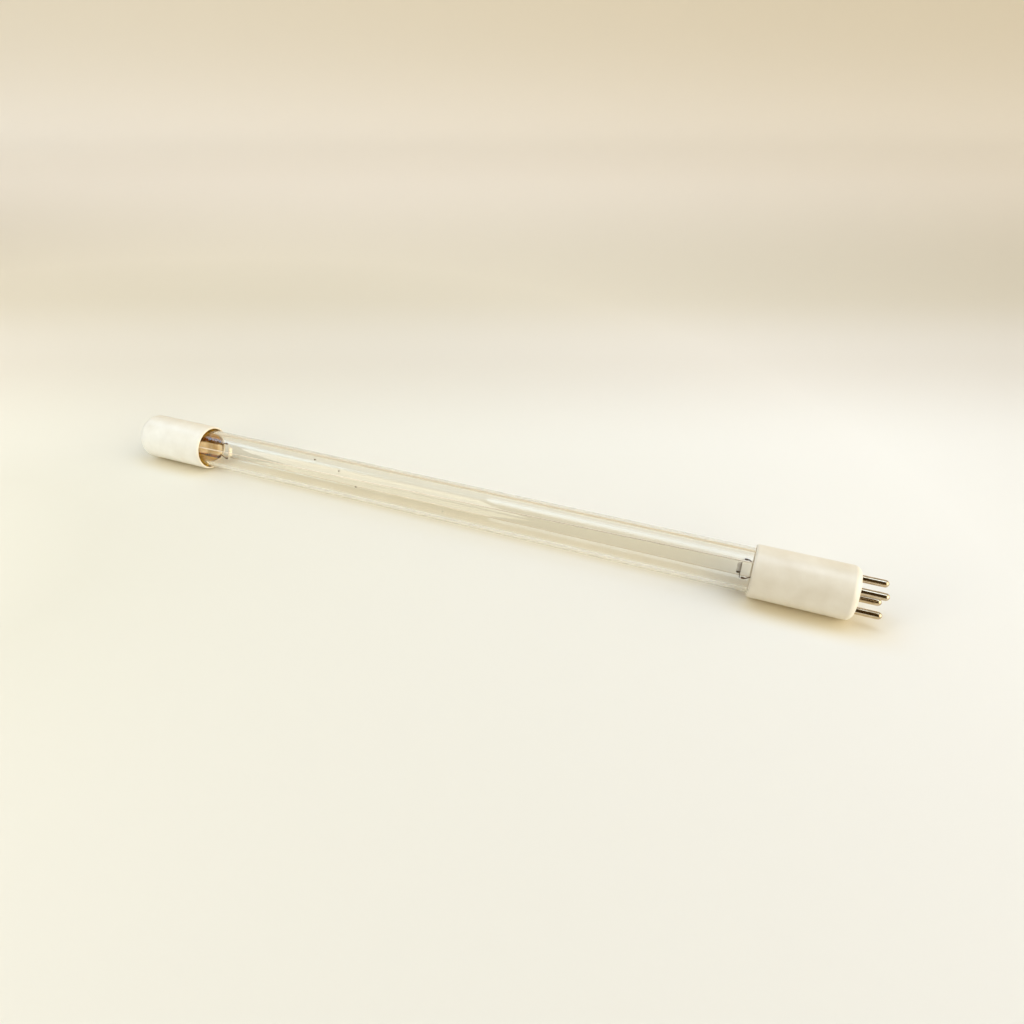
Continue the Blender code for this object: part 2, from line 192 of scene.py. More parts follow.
# Drawn fused quartz: water clear and mirror smooth. Light passes straight through it to what lies
# under it, so its shadow is only a faint warm grey.
quartz, shader = new_material("drawn_fused_quartz")
shader.inputs["Base Color"].default_value = linear("FCFBF7")
shader.inputs["Roughness"].default_value = 0.0
shader.inputs["IOR"].default_value = 1.458
shader.inputs["Transmission Weight"].default_value = 1.0
light_path = add_node(quartz, "ShaderNodeLightPath", {}, {})
lets_light = add_node(quartz, "ShaderNodeMath", {"operation": "MAXIMUM"},
                      {0: light_path.outputs["Is Shadow Ray"], 1: light_path.outputs["Is Diffuse Ray"]})
clear = add_node(quartz, "ShaderNodeBsdfTransparent", {"Color": linear("FDFCFA")}, {})
mixed = add_node(quartz, "ShaderNodeMixShader", {},
                 {0: lets_light.outputs[0], 1: shader.outputs["BSDF"], 2: clear.outputs["BSDF"]})
quartz.node_tree.links.new(mixed.outputs["Shader"],
                           quartz.node_tree.nodes["Material Output"].inputs["Surface"])
tube.data.materials.append(quartz)
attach(tube, "root")
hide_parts("quartz_tube")


# Glass stems. At each end a flared glass stem is fused into the tube: it is blown out to a
# flare at the back, pressed flat round the two lead wires, and keeps its sealed exhaust tube.
STEM_SIDES = 64
SEAM = 0.00012
STEM_LENGTH = 0.0200
STEM_RADIUS = 0.0036
STEM_WALL = 0.0007
FLARE_LENGTH = 0.0060
FLARE_RIM = BORE_RADIUS - SEAM
FLARE_CURVE = 2.4
FLARE_STEPS = 16
PRESS_START = STEM_LENGTH - 0.0060
PRESS_FLATTEN_FROM = PRESS_START - 0.0024
PRESS_FLAT_AT = PRESS_START + 0.0015
PRESS_THICKNESS_SHARE = 0.42
PRESS_WIDTH_SHARE = 1.12
PRESS_STEPS = 10
PRESS_EDGE = ((0.0, 0.0008), (0.0002, 0.0003), (0.0006, 0.0))
THROAT_LENGTH = 0.0012
THROAT_EASE = 0.0002
THROAT_NARROWING = 0.0014
THROAT_RIM = 0.0005
EXHAUST_RADIUS = 0.0012
EXHAUST_REACH = 0.0032
EXHAUST_TIP = ((0.0018, 1.0), (0.0008, 0.8), (0.0002, 0.4), (0.0, 0.08))
FAR_ELECTRODE_TURN = math.radians(-20)
BASE_ELECTRODE_TURN = math.radians(36.72)
FAR_ELECTRODE = (Matrix.Translation((FAR_GLASS_END, 0, AXIS_HEIGHT))
                 @ Matrix.Rotation(FAR_ELECTRODE_TURN, 4, "X"))
BASE_ELECTRODE = (Matrix.Translation((BASE_GLASS_END, 0, AXIS_HEIGHT)) @ Matrix.Rotation(math.pi, 4, "Z")
                  @ Matrix.Rotation(BASE_ELECTRODE_TURN, 4, "X"))

# Pressed lead glass: milky along the middle, with soft folds about 2 mm apart, and a clear deeper
# amber towards its edges. Its IOR is below real lead glass, so that the cement behind it shows plainly.
ACROSS_FAR_PRESS = (0, 0.342, 0.94)
CLEAR_FROM = 0.0020
CLEAR_AT = 0.0026
stem_glass, shader = new_material("pressed_lead_glass")
shader.inputs["IOR"].default_value = 1.3
coords = add_node(stem_glass, "ShaderNodeTexCoord", {}, {})
from_axis = add_node(stem_glass, "ShaderNodeVectorMath",
                     {"operation": "SUBTRACT", 1: (0, 0, AXIS_HEIGHT)}, {0: coords.outputs["Object"]})
off_middle = add_node(stem_glass, "ShaderNodeVectorMath",
                      {"operation": "DOT_PRODUCT", 1: ACROSS_FAR_PRESS}, {0: from_axis.outputs["Vector"]})
off_middle = add_node(stem_glass, "ShaderNodeMath", {"operation": "ABSOLUTE"},
                      {0: off_middle.outputs["Value"]})
for socket, middle, edge in (("Transmission Weight", 0.45, 1.0), ("Roughness", 0.22, 0.03)):
    share = add_node(stem_glass, "ShaderNodeMapRange",
                     {"From Min": CLEAR_FROM, "From Max": CLEAR_AT, "To Min": middle, "To Max": edge},
                     {"Value": off_middle.outputs[0]})
    stem_glass.node_tree.links.new(share.outputs["Result"], shader.inputs[socket])
clear_edge = add_node(stem_glass, "ShaderNodeMapRange", {"From Min": CLEAR_FROM, "From Max": CLEAR_AT},
                      {"Value": off_middle.outputs[0]})
folds = add_node(stem_glass, "ShaderNodeTexNoise", {"Scale": 500.0, "Detail": 3.0},
                 {"Vector": coords.outputs["Object"]})
tones = add_node(stem_glass, "ShaderNodeValToRGB", {}, {"Fac": folds.outputs["Fac"]})
tones.color_ramp.elements[0].position = 0.35
tones.color_ramp.elements[0].color = linear("E2CCA6")
tones.color_ramp.elements[1].position = 0.65
tones.color_ramp.elements[1].color = linear("F6EAD4")
amber = add_node(stem_glass, "ShaderNodeMix", {"data_type": "RGBA", 7: linear("DDAA50")},
                 {0: clear_edge.outputs["Result"], 6: tones.outputs["Color"]})
stem_glass.node_tree.links.new(amber.outputs[2], shader.inputs["Base Color"])

for stem_name, node, spot in (("far_glass_stem", "far_stem", FAR_ELECTRODE),
                              ("base_glass_stem", "base_stem", BASE_ELECTRODE)):
    flare = []
    for step in range(FLARE_STEPS + 1):
        x = FLARE_LENGTH * step / FLARE_STEPS
        flare.append((x, STEM_RADIUS + (FLARE_RIM - STEM_RADIUS) * (1 - x / FLARE_LENGTH) ** FLARE_CURVE))
    press = [(PRESS_FLATTEN_FROM + (PRESS_FLAT_AT - PRESS_FLATTEN_FROM) * step / PRESS_STEPS, STEM_RADIUS)
             for step in range(PRESS_STEPS + 1)]
    skin = [(STEM_LENGTH, EXHAUST_RADIUS)]
    skin += [(STEM_LENGTH - back, STEM_RADIUS - inwards) for back, inwards in PRESS_EDGE]
    skin += press[::-1] + flare[::-1]
    skin += [(x, r - STEM_WALL) for x, r in flare]
    skin += [(PRESS_START - THROAT_LENGTH, STEM_RADIUS - STEM_WALL),
             (PRESS_START - THROAT_EASE, STEM_RADIUS - THROAT_NARROWING),
             (PRESS_START, EXHAUST_RADIUS + THROAT_RIM), (PRESS_START - THROAT_EASE, EXHAUST_RADIUS)]
    skin += [(-EXHAUST_REACH + back, EXHAUST_RADIUS * share) for back, share in EXHAUST_TIP]
    turn(skin, STEM_SIDES)
    bpy.ops.object.mode_set(mode="OBJECT")
    for vertex in bpy.context.object.data.vertices:
        along = (vertex.co.x - PRESS_FLATTEN_FROM) / (PRESS_FLAT_AT - PRESS_FLATTEN_FROM)
        along = max(0.0, min(1.0, along))
        blend = along * along * (3 - 2 * along)
        vertex.co.y *= 1 - blend * (1 - PRESS_THICKNESS_SHARE)
        vertex.co.z *= 1 - blend * (1 - PRESS_WIDTH_SHARE)
    stem = finish_piece(stem_name, spot, 60)
    stem.data.materials.append(stem_glass)
    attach(stem, "root")
    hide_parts(node)


# Lead wires. Two stiff wires run through each press and spread a little before their ends, which
# are folded over the coil's legs. Where the glass grips them they are copper clad and reddish.
LEAD_RADIUS = 0.0002
LEAD_PITCH = 0.0043
LEAD_REACH = 0.0037
LEAD_TIP_PITCH = 0.0062
LEAD_BEND = LEAD_RADIUS * 4
LEAD_SPREAD_FROM = LEAD_REACH * 0.2
LEAD_FOLD_LENGTH = 0.0009
LEAD_FOLD_NECK = LEAD_FOLD_LENGTH * 1.6
FOLD_SWELLS = [1.7, 1.9, 1.8, 1.3]
PIN_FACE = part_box("pin_base")[1].x
PIN_RADIUS = 0.0012
PIN_HALF_WIDTH = 0.003175
PIN_HALF_HEIGHT = 0.00396
PIN_TURN = Matrix.Rotation(math.radians(2), 2)
PIN_CENTRES = [PIN_TURN @ Vector((side_y * PIN_HALF_WIDTH, side_z * PIN_HALF_HEIGHT))
               for side_y, side_z in ((-1, 1), (1, 1), (-1, -1), (1, -1))]
PIN_CUP_FLOOR = PIN_FACE - 0.00562
PIN_CUP_MOUTH = PIN_FACE - 0.00742
STRAIGHT_RUN = (PIN_CUP_MOUTH - BASE_GLASS_END) * 0.3


def rounded_path(corners, bend):
    """Points along straight runs between corners, with a smooth bend at each inner corner."""
    steps = 6
    points = [corners[0]]
    for before, corner, after in zip(corners, corners[1:], corners[2:]):
        reach = min(bend, (before - corner).length / 2, (after - corner).length / 2)
        enter = corner + (before - corner).normalized() * reach
        leave = corner + (after - corner).normalized() * reach
        for step in range(steps + 1):
            t = step / steps
            points.append(enter * (1 - t) ** 2 + corner * 2 * t * (1 - t) + leave * t ** 2)
    points.append(corners[-1])
    return points


def draw_wire(name, points, radius, thickness=None, place=None, resolution=3):
    """A round wire along points as a mesh. thickness gives each point's share of the radius."""
    deselect_all()
    curve = bpy.data.curves.new(name, "CURVE")
    curve.dimensions = "3D"
    curve.bevel_depth = radius
    curve.bevel_resolution = resolution
    curve.use_fill_caps = True
    spline = curve.splines.new("POLY")
    spline.points.add(len(points) - 1)
    for index, point in enumerate(points):
        spline.points[index].co = (*point, 1.0)
        spline.points[index].radius = thickness[index] if thickness else 1.0
    piece = bpy.data.objects.new(name, curve)
    bpy.context.collection.objects.link(piece)
    bpy.context.view_layer.objects.active = piece
    piece.select_set(True)
    bpy.ops.object.convert(target="MESH")
    bpy.ops.object.mode_set(mode="EDIT")
    bpy.ops.mesh.select_all(action="SELECT")
    bpy.ops.mesh.remove_doubles(threshold=1e-7)
    bpy.ops.mesh.normals_make_consistent(inside=False)
    return finish_piece(name, place or Matrix(), 50)


# Drawn nickel iron with a copper skin: a dull reddish brown with darker stains under a millimetre wide
lead_metal, shader = new_material("drawn_nickel_iron_wire")
shader.inputs["Metallic"].default_value = 1.0
shader.inputs["Roughness"].default_value = 0.38
coords = add_node(lead_metal, "ShaderNodeTexCoord", {}, {})
stains = add_node(lead_metal, "ShaderNodeTexNoise", {"Scale": 1400.0, "Detail": 3.0},
                  {"Vector": coords.outputs["Object"]})
tones = add_node(lead_metal, "ShaderNodeValToRGB", {}, {"Fac": stains.outputs["Fac"]})
tones.color_ramp.elements[0].position = 0.35
tones.color_ramp.elements[0].color = linear("563C20")
tones.color_ramp.elements[1].position = 0.7
tones.color_ramp.elements[1].color = linear("8A683A")
lead_metal.node_tree.links.new(tones.outputs["Color"], shader.inputs["Base Color"])

for number, side in ((1, 1), (2, -1)):
    for end, spot in (("far", FAR_ELECTRODE), ("base", BASE_ELECTRODE)):
        pitch = side * LEAD_PITCH / 2
        tip = side * LEAD_TIP_PITCH / 2
        tip_x = STEM_LENGTH + LEAD_REACH
        inner = [Vector((STEM_LENGTH + LEAD_SPREAD_FROM, 0, pitch)),
                 Vector((tip_x - LEAD_FOLD_NECK, 0, tip)),
                 Vector((tip_x - LEAD_FOLD_LENGTH, 0, tip)), Vector((tip_x, 0, tip))]
        inner = [spot @ corner for corner in inner]
        if end == "far":
            outer = [spot @ Vector((-EXHAUST_REACH, 0, pitch))]
        else:
            centre = PIN_CENTRES[1 if side > 0 else 2]
            leave = spot @ Vector((0, 0, pitch))
            outer = [Vector((PIN_CUP_FLOOR - SEAM, centre.x, AXIS_HEIGHT + centre.y)),
                     Vector((PIN_CUP_MOUTH - STRAIGHT_RUN, centre.x, AXIS_HEIGHT + centre.y)),
                     Vector((BASE_GLASS_END + STRAIGHT_RUN, leave.y, leave.z))]
        path = rounded_path(outer + inner[:2], LEAD_BEND)
        swells = [1.0] * len(path) + FOLD_SWELLS
        path += [inner[2], inner[2].lerp(inner[3], 0.4), inner[2].lerp(inner[3], 0.8), inner[3]]
        lead = draw_wire(f"{end}_lead_wire_{number}", path, LEAD_RADIUS, swells)
        lead.data.materials.append(lead_metal)
        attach(lead, "root")
        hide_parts(f"{end}_lead_{number}")


# Electrode coils. A fine tungsten coil hangs between the folded lead ends, dipped in a white
# emitter powder that clings to its middle turns in uneven lumps.
COIL_WIRE_RADIUS = 0.0001
COIL_TURNS = 11
COIL_RADIUS = 0.0006
COIL_LENGTH = 0.0036
COIL_PAST_LEADS = 0.0012
COIL_X = STEM_LENGTH + LEAD_REACH + COIL_PAST_LEADS
LEG_GAP = 0.0001
LEG_BEND = COIL_WIRE_RADIUS * 4
STEPS_PER_TURN = 16
POWDER_THICKNESS = 0.85
POWDER_LUMPS = 0.5

# Baked emitter powder: chalky off-white with lumps under half a millimetre wide, mixed to dark brown
# at the base coil's lower end
DOWN_BASE_COIL = (0, -0.598, -0.802)
DARK_END_FROM = 0.0010
DARK_END_AT = 0.0014
coil_coating, shader = new_material("baked_emitter_powder")
shader.inputs["Roughness"].default_value = 0.85
coords = add_node(coil_coating, "ShaderNodeTexCoord", {}, {})
powder = add_node(coil_coating, "ShaderNodeTexNoise", {"Scale": 2600.0, "Detail": 4.0},
                  {"Vector": coords.outputs["Object"]})
tones = add_node(coil_coating, "ShaderNodeValToRGB", {}, {"Fac": powder.outputs["Fac"]})
tones.color_ramp.elements[0].position = 0.3
tones.color_ramp.elements[0].color = linear("CFC5B3")
tones.color_ramp.elements[1].position = 0.65
tones.color_ramp.elements[1].color = linear("F6F2E8")
from_axis = add_node(coil_coating, "ShaderNodeVectorMath",
                     {"operation": "SUBTRACT", 1: (0, 0, AXIS_HEIGHT)}, {0: coords.outputs["Object"]})
down = add_node(coil_coating, "ShaderNodeVectorMath", {"operation": "DOT_PRODUCT", 1: DOWN_BASE_COIL},
                {0: from_axis.outputs["Vector"]})
low_end = add_node(coil_coating, "ShaderNodeMapRange", {"From Min": DARK_END_FROM, "From Max": DARK_END_AT},
                   {"Value": down.outputs["Value"]})
place = add_node(coil_coating, "ShaderNodeSeparateXYZ", {}, {"Vector": coords.outputs["Object"]})
at_base = add_node(coil_coating, "ShaderNodeMath", {"operation": "GREATER_THAN", 1: 0.0},
                   {0: place.outputs["X"]})
# The base coil is mixed to dark brown towards its lower end
dark_end = add_node(coil_coating, "ShaderNodeMath", {"operation": "MULTIPLY"},
                 {0: low_end.outputs["Result"], 1: at_base.outputs[0]})
coating = add_node(coil_coating, "ShaderNodeMix", {"data_type": "RGBA", 7: linear("4A3B22")},
                   {0: dark_end.outputs[0], 6: tones.outputs["Color"]})
coil_coating.node_tree.links.new(coating.outputs[2], shader.inputs["Base Color"])
bump = add_node(coil_coating, "ShaderNodeBump", {"Strength": 0.6, "Distance": 0.00005},
                {"Height": powder.outputs["Fac"]})
coil_coating.node_tree.links.new(bump.outputs["Normal"], shader.inputs["Normal"])

# The powder starts 0.6 of a turn in from each end of the coil and is thick from 1.8 turns in
for end, spot in (("far", FAR_ELECTRODE), ("base", BASE_ELECTRODE)):
    steps = COIL_TURNS * STEPS_PER_TURN
    coil, lumps = [], []
    for step in range(steps + 1):
        angle = 2 * math.pi * COIL_TURNS * step / steps
        share = step / steps
        coil.append(Vector((COIL_X - COIL_RADIUS * math.cos(angle), COIL_RADIUS * math.sin(angle),
                            COIL_LENGTH * (share - 0.5))))
        cover = min(1.0, max(0.0, min(share, 1 - share) * 9 - 0.5))
        lump = noise.noise(Vector((step * 0.11, 3.7 if end == "far" else 9.1, 0)))
        lumps.append(1.0 + cover * (POWDER_THICKNESS + POWDER_LUMPS * lump))
    leg = [Vector((STEM_LENGTH + LEAD_REACH + LEG_GAP, 0, -LEAD_TIP_PITCH / 2)),
           Vector((COIL_X - COIL_RADIUS, 0, -LEAD_TIP_PITCH / 2)), coil[0]]
    first = rounded_path(leg, LEG_BEND)[:-1]
    last = [Vector((point.x, point.y, -point.z)) for point in reversed(first)]
    thickness = [1.0] * len(first) + lumps + [1.0] * len(last)
    filament = draw_wire(f"{end}_coated_coil", first + coil + last, COIL_WIRE_RADIUS, thickness, spot, 2)
    filament.data.materials.append(coil_coating)
    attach(filament, "root")
    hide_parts(f"{end}_filament")


# Mercury. The lamp is filled with a little mercury, which turns to vapour when it burns. Cold, it is
# one small bead of liquid metal on the lowest line of the bore, a little flattened by its weight.
BEAD_SAG = (1.04, 1.04, 0.93)
bead_low, bead_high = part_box("mercury_bead")
deselect_all()
bpy.ops.mesh.primitive_ico_sphere_add(subdivisions=4, radius=(bead_high.x - bead_low.x) / 2,
                                      location=(bead_low + bead_high) / 2)
bpy.ops.object.mode_set(mode="EDIT")
bpy.ops.mesh.select_all(action="SELECT")
bpy.ops.transform.resize(value=BEAD_SAG)
bead = finish_piece("mercury_drop", bpy.context.object.matrix_world.copy(), 80)

# Liquid mercury: a plain bright mirror
mercury, shader = new_material("liquid_mercury")
shader.inputs["Base Color"].default_value = linear("D2D2D0")
shader.inputs["Metallic"].default_value = 1.0
shader.inputs["Roughness"].default_value = 0.04
bead.data.materials.append(mercury)
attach(bead, "root")
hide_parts("mercury_bead")


# Return wires. Two bare nickel wires are welded to the far leads, come out over the glass and lie
# on it all the way to the base, one in front and one low at the back, not drawn quite straight.
WIRE_RADIUS = 0.0002
WIRE_CLEARANCE = 0.0001
WIRE_PATH_RADIUS = TUBE_RADIUS + WIRE_CLEARANCE + WIRE_RADIUS
WELD_FROM = 0.35
WELD_TO = 0.8
WIRE_BEND = 0.0006
WIRE_PAST_GLASS = 0.0012
WIRE_WAVER = 0.7
WIRE_STEPS = 60
FRONT_WIRE_FAR_ANGLE = 59.3
FRONT_WIRE_BASE_ANGLE = 35.5
BACK_WIRE_ANGLE = -148.0
FAR_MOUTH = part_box("end_cap")[1].x
BASE_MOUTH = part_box("pin_base")[0].x


def around(x, radius, angle):
    """A point at a distance from the lamp's axis, at an angle from straight up towards -Y."""
    turn_by = math.radians(angle)
    return Vector((x, -radius * math.sin(turn_by), AXIS_HEIGHT + radius * math.cos(turn_by)))


# Drawn nickel: a warm bright wire. Its gloss comes and goes in lengthways die marks, which are 8 mm
# long and 0.2 mm wide, coarser than real ones so that they show.
nickel, shader = new_material("drawn_nickel_wire")
shader.inputs["Metallic"].default_value = 1.0
shader.inputs["Base Color"].default_value = linear("F4E9D6")
coords = add_node(nickel, "ShaderNodeTexCoord", {}, {})
stretch = add_node(nickel, "ShaderNodeMapping", {"Scale": (120, 5000, 5000)},
                   {"Vector": coords.outputs["Object"]})
die_marks = add_node(nickel, "ShaderNodeTexNoise", {"Scale": 1.0, "Detail": 2.0},
                     {"Vector": stretch.outputs["Vector"]})
gloss = add_node(nickel, "ShaderNodeMapRange", {"To Min": 0.3, "To Max": 0.45},
                 {"Value": die_marks.outputs["Fac"]})
nickel.node_tree.links.new(gloss.outputs["Result"], shader.inputs["Roughness"])

for number, side, far_angle, base_angle, centre in (
        (1, 1, FRONT_WIRE_FAR_ANGLE, FRONT_WIRE_BASE_ANGLE, PIN_CENTRES[0]),
        (2, -1, BACK_WIRE_ANGLE, BACK_WIRE_ANGLE, PIN_CENTRES[3])):
    beside = side * -(WIRE_RADIUS + LEAD_RADIUS + WIRE_CLEARANCE)
    weld = [FAR_ELECTRODE @ Vector((-EXHAUST_REACH * share, beside, side * LEAD_PITCH / 2))
            for share in (WELD_FROM, WELD_TO)]
    path = rounded_path(weld + [around(FAR_GLASS_END - WIRE_PAST_GLASS, WIRE_PATH_RADIUS, far_angle),
                                around(FAR_MOUTH, WIRE_PATH_RADIUS, far_angle)], WIRE_BEND)
    for step in range(1, WIRE_STEPS):
        share = step / WIRE_STEPS
        waver = noise.noise(Vector((share * 9, number * 5.3, 0))) * WIRE_WAVER * math.sin(math.pi * share)
        path.append(around(FAR_MOUTH + (BASE_MOUTH - FAR_MOUTH) * share, WIRE_PATH_RADIUS,
                           far_angle + (base_angle - far_angle) * share + waver))
    path += rounded_path([around(BASE_MOUTH, WIRE_PATH_RADIUS, base_angle),
                          around(BASE_GLASS_END + WIRE_PAST_GLASS, WIRE_PATH_RADIUS, base_angle),
                          Vector((PIN_CUP_MOUTH - STRAIGHT_RUN, centre.x, AXIS_HEIGHT + centre.y)),
                          Vector((PIN_CUP_FLOOR - SEAM, centre.x, AXIS_HEIGHT + centre.y))], WIRE_BEND)
    wire = draw_wire(f"bare_return_wire_{number}", path, WIRE_RADIUS)
    wire.data.materials.append(nickel)
    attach(wire, "root")
    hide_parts(f"return_wire_{number}")


# Dust. Three grains of dull brown dirt, each over half a millimetre wide, stick to the top and front
# of the glass, as they do on a lamp in use.
DUST_GRAINS = ((-0.0606, 18, 0.00034), (-0.0486, 37, 0.00028), (-0.0401, 71, 0.00032))
DUST_STANDS_OUT = 0.3
dust, shader = new_material("brown_dust")
shader.inputs["Base Color"].default_value = linear("5A4426")
shader.inputs["Roughness"].default_value = 0.9
for number, (x, angle, size) in enumerate(DUST_GRAINS, start=1):
    deselect_all()
    bpy.ops.mesh.primitive_ico_sphere_add(
        subdivisions=3, radius=size, location=around(x, TUBE_RADIUS + size * DUST_STANDS_OUT, angle))
    grain = finish_piece(f"dust_grain_{number}", bpy.context.object.matrix_world.copy(), 80)
    grain.data.materials.append(dust)
    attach(grain, "root")


# Ceramic shells. The far cap and the pin base are pressed steatite, satin glazed, with one
# section: a round closed end, a straight wall and a small eased lip at the mouth.
SHELL_SIDES = 160
CAP_RADIUS = AXIS_HEIGHT
CAP_BORE = 0.0081
CAP_END_WALL = 0.0032
BASE_END_WALL = 0.0040
END_ROUNDING = 0.0025
FLOOR_ROUNDING = 0.0006
LIP_LENGTH = 0.0006
LIP_DEPTH = 0.0003
LIP_ROUNDING = 0.00018
MOUTH_ROUNDING = 0.00012
LIP_BACK_ROUNDING = 0.0004
PIN_CLEARANCE = 0.0001
DRILL_LENGTH = 0.012
FAR_END_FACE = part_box("end_cap")[0].x

# Satin glazed steatite: warm off-white with faint clouds 8 mm wide. Its glaze has a grain of 0.3 mm,
# coarser than the real one so that it just shows.
ceramic, shader = new_material("satin_glazed_steatite")
shader.inputs["Roughness"].default_value = 0.34
shader.inputs["IOR"].default_value = 1.6
coords = add_node(ceramic, "ShaderNodeTexCoord", {}, {})
cloud = add_node(ceramic, "ShaderNodeTexNoise", {"Scale": 120.0, "Detail": 3.0},
                 {"Vector": coords.outputs["Object"]})
tones = add_node(ceramic, "ShaderNodeValToRGB", {}, {"Fac": cloud.outputs["Fac"]})
tones.color_ramp.elements[0].position = 0.3
tones.color_ramp.elements[0].color = linear("E4DAC5")
tones.color_ramp.elements[1].position = 0.7
tones.color_ramp.elements[1].color = linear("EFE7D5")
ceramic.node_tree.links.new(tones.outputs["Color"], shader.inputs["Base Color"])
grain = add_node(ceramic, "ShaderNodeTexNoise", {"Scale": 3000.0, "Detail": 2.0},
                 {"Vector": coords.outputs["Object"]})
bump = add_node(ceramic, "ShaderNodeBump", {"Strength": 0.15, "Distance": 0.00005},
                {"Height": grain.outputs["Fac"]})
ceramic.node_tree.links.new(bump.outputs["Normal"], shader.inputs["Normal"])

for shell_name, node, length, end_wall, spot in (
        ("closed_end_cap", "end_cap", FAR_MOUTH - FAR_END_FACE, CAP_END_WALL,
         Matrix.Translation((FAR_END_FACE, 0, AXIS_HEIGHT))),
        ("four_pin_base", "pin_base", PIN_FACE - BASE_MOUTH, BASE_END_WALL,
         Matrix.Translation((PIN_FACE, 0, AXIS_HEIGHT)) @ Matrix.Rotation(math.pi, 4, "Z"))):
    turn([(0, CAP_RADIUS), (length - LIP_LENGTH, CAP_RADIUS), (length, CAP_RADIUS - LIP_DEPTH),
          (length, CAP_BORE), (end_wall, CAP_BORE)], SHELL_SIDES)
    round_ring(0, CAP_RADIUS, END_ROUNDING, 12)
    round_ring(end_wall, CAP_BORE, FLOOR_ROUNDING, 4)
    round_ring(length, CAP_RADIUS - LIP_DEPTH, LIP_ROUNDING, 4)
    round_ring(length, CAP_BORE, MOUTH_ROUNDING, 3)
    round_ring(length - LIP_LENGTH, CAP_RADIUS, LIP_BACK_ROUNDING, 4)
    shell = finish_piece(shell_name, spot, 40)
    if node == "pin_base":
        for centre in PIN_CENTRES:
            bpy.ops.mesh.primitive_cylinder_add(
                vertices=64, radius=PIN_RADIUS + PIN_CLEARANCE, depth=DRILL_LENGTH,
                location=(PIN_FACE, centre.x, AXIS_HEIGHT + centre.y), rotation=(0, math.pi / 2, 0))
            bore = bpy.context.object
            drill = shell.modifiers.new("drill", "BOOLEAN")
            drill.object = bore
            drill.solver = "EXACT"
            deselect_all()
            bpy.context.view_layer.objects.active = shell
            bpy.ops.object.modifier_apply(modifier=drill.name)
            bpy.data.objects.remove(bore, do_unlink=True)
    shell.data.materials.append(ceramic)
    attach(shell, "root")
    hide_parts(node)


# Pins. Four turned brass contact pins, nickel plated, with domed tips. Behind the face each has
# a flange that seats it and a cup that its wire is soldered into.
PIN_SIDES = 64
PIN_REACH = 0.0083
FLANGE_RADIUS = 0.0017
FLANGE_FRONT = -0.00412
FLANGE_BACK = -0.00492
TAIL_END = PIN_CUP_MOUTH - PIN_FACE
TAIL_RADIUS = 0.001075
CUP_RADIUS = TAIL_RADIUS - 0.0004
CUP_DEPTH = 0.0018
SHANK_STEPS = 30

# Bright nickel plate: a warm mirror, rubbed lengthways where a holder gripped it and a little tarnished
# in patches 1.5 mm wide
pin_plating, shader = new_material("bright_nickel_plate")
shader.inputs["Metallic"].default_value = 1.0
coords = add_node(pin_plating, "ShaderNodeTexCoord", {}, {})
stretch = add_node(pin_plating, "ShaderNodeMapping", {"Scale": (300, 6000, 6000)},
                   {"Vector": coords.outputs["Object"]})
rubs = add_node(pin_plating, "ShaderNodeTexNoise", {"Scale": 1.0, "Detail": 3.0},
                {"Vector": stretch.outputs["Vector"]})
gloss = add_node(pin_plating, "ShaderNodeMapRange", {"To Min": 0.04, "To Max": 0.16},
                 {"Value": rubs.outputs["Fac"]})
pin_plating.node_tree.links.new(gloss.outputs["Result"], shader.inputs["Roughness"])
tarnish = add_node(pin_plating, "ShaderNodeTexNoise", {"Scale": 700.0, "Detail": 3.0},
                   {"Vector": coords.outputs["Object"]})
tones = add_node(pin_plating, "ShaderNodeValToRGB", {}, {"Fac": tarnish.outputs["Fac"]})
tones.color_ramp.elements[0].position = 0.3
tones.color_ramp.elements[0].color = linear("BFA988")
tones.color_ramp.elements[1].position = 0.65
tones.color_ramp.elements[1].color = linear("D9CAB0")
pin_plating.node_tree.links.new(tones.outputs["Color"], shader.inputs["Base Color"])

for number, centre in enumerate(PIN_CENTRES, start=1):
    shank = [(FLANGE_FRONT + (PIN_REACH - PIN_RADIUS - FLANGE_FRONT) * step / SHANK_STEPS, PIN_RADIUS)
             for step in range(SHANK_STEPS + 1)]
    dome = [(PIN_REACH - PIN_RADIUS + PIN_RADIUS * math.sin(math.radians(angle)),
             PIN_RADIUS * math.cos(math.radians(angle))) for angle in range(8, 90, 8)]
    turn([(TAIL_END + CUP_DEPTH, CUP_RADIUS), (TAIL_END, CUP_RADIUS), (TAIL_END, TAIL_RADIUS),
          (FLANGE_BACK, TAIL_RADIUS), (FLANGE_BACK, FLANGE_RADIUS), (FLANGE_FRONT, FLANGE_RADIUS)]
         + shank + dome, PIN_SIDES)
    pin = finish_piece(f"contact_pin_{number}",
                       Matrix.Translation((PIN_FACE, centre.x, AXIS_HEIGHT + centre.y)), 40)
    pin.data.materials.append(pin_plating)
    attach(pin, "root")
    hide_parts(f"pin_{number}")


# Basing cement. A golden brown heat-cured cement is buttered between glass and shell. It wets the
# glass, ends unevenly at the mouth, and leaves small gaps and a way for the wires.
CEMENT_INNER = TUBE_RADIUS - 0.00002
CEMENT_OUTER = CAP_BORE - 0.00005
CEMENT_LENGTH = 0.0150
CEMENT_INSET = 0.0005
CEMENT_UNEVEN = 0.0006
CEMENT_CRUMBS = 0.0004
CEMENT_WIRE_ROOM = 5
DEGREES_PER_COLUMN = 2
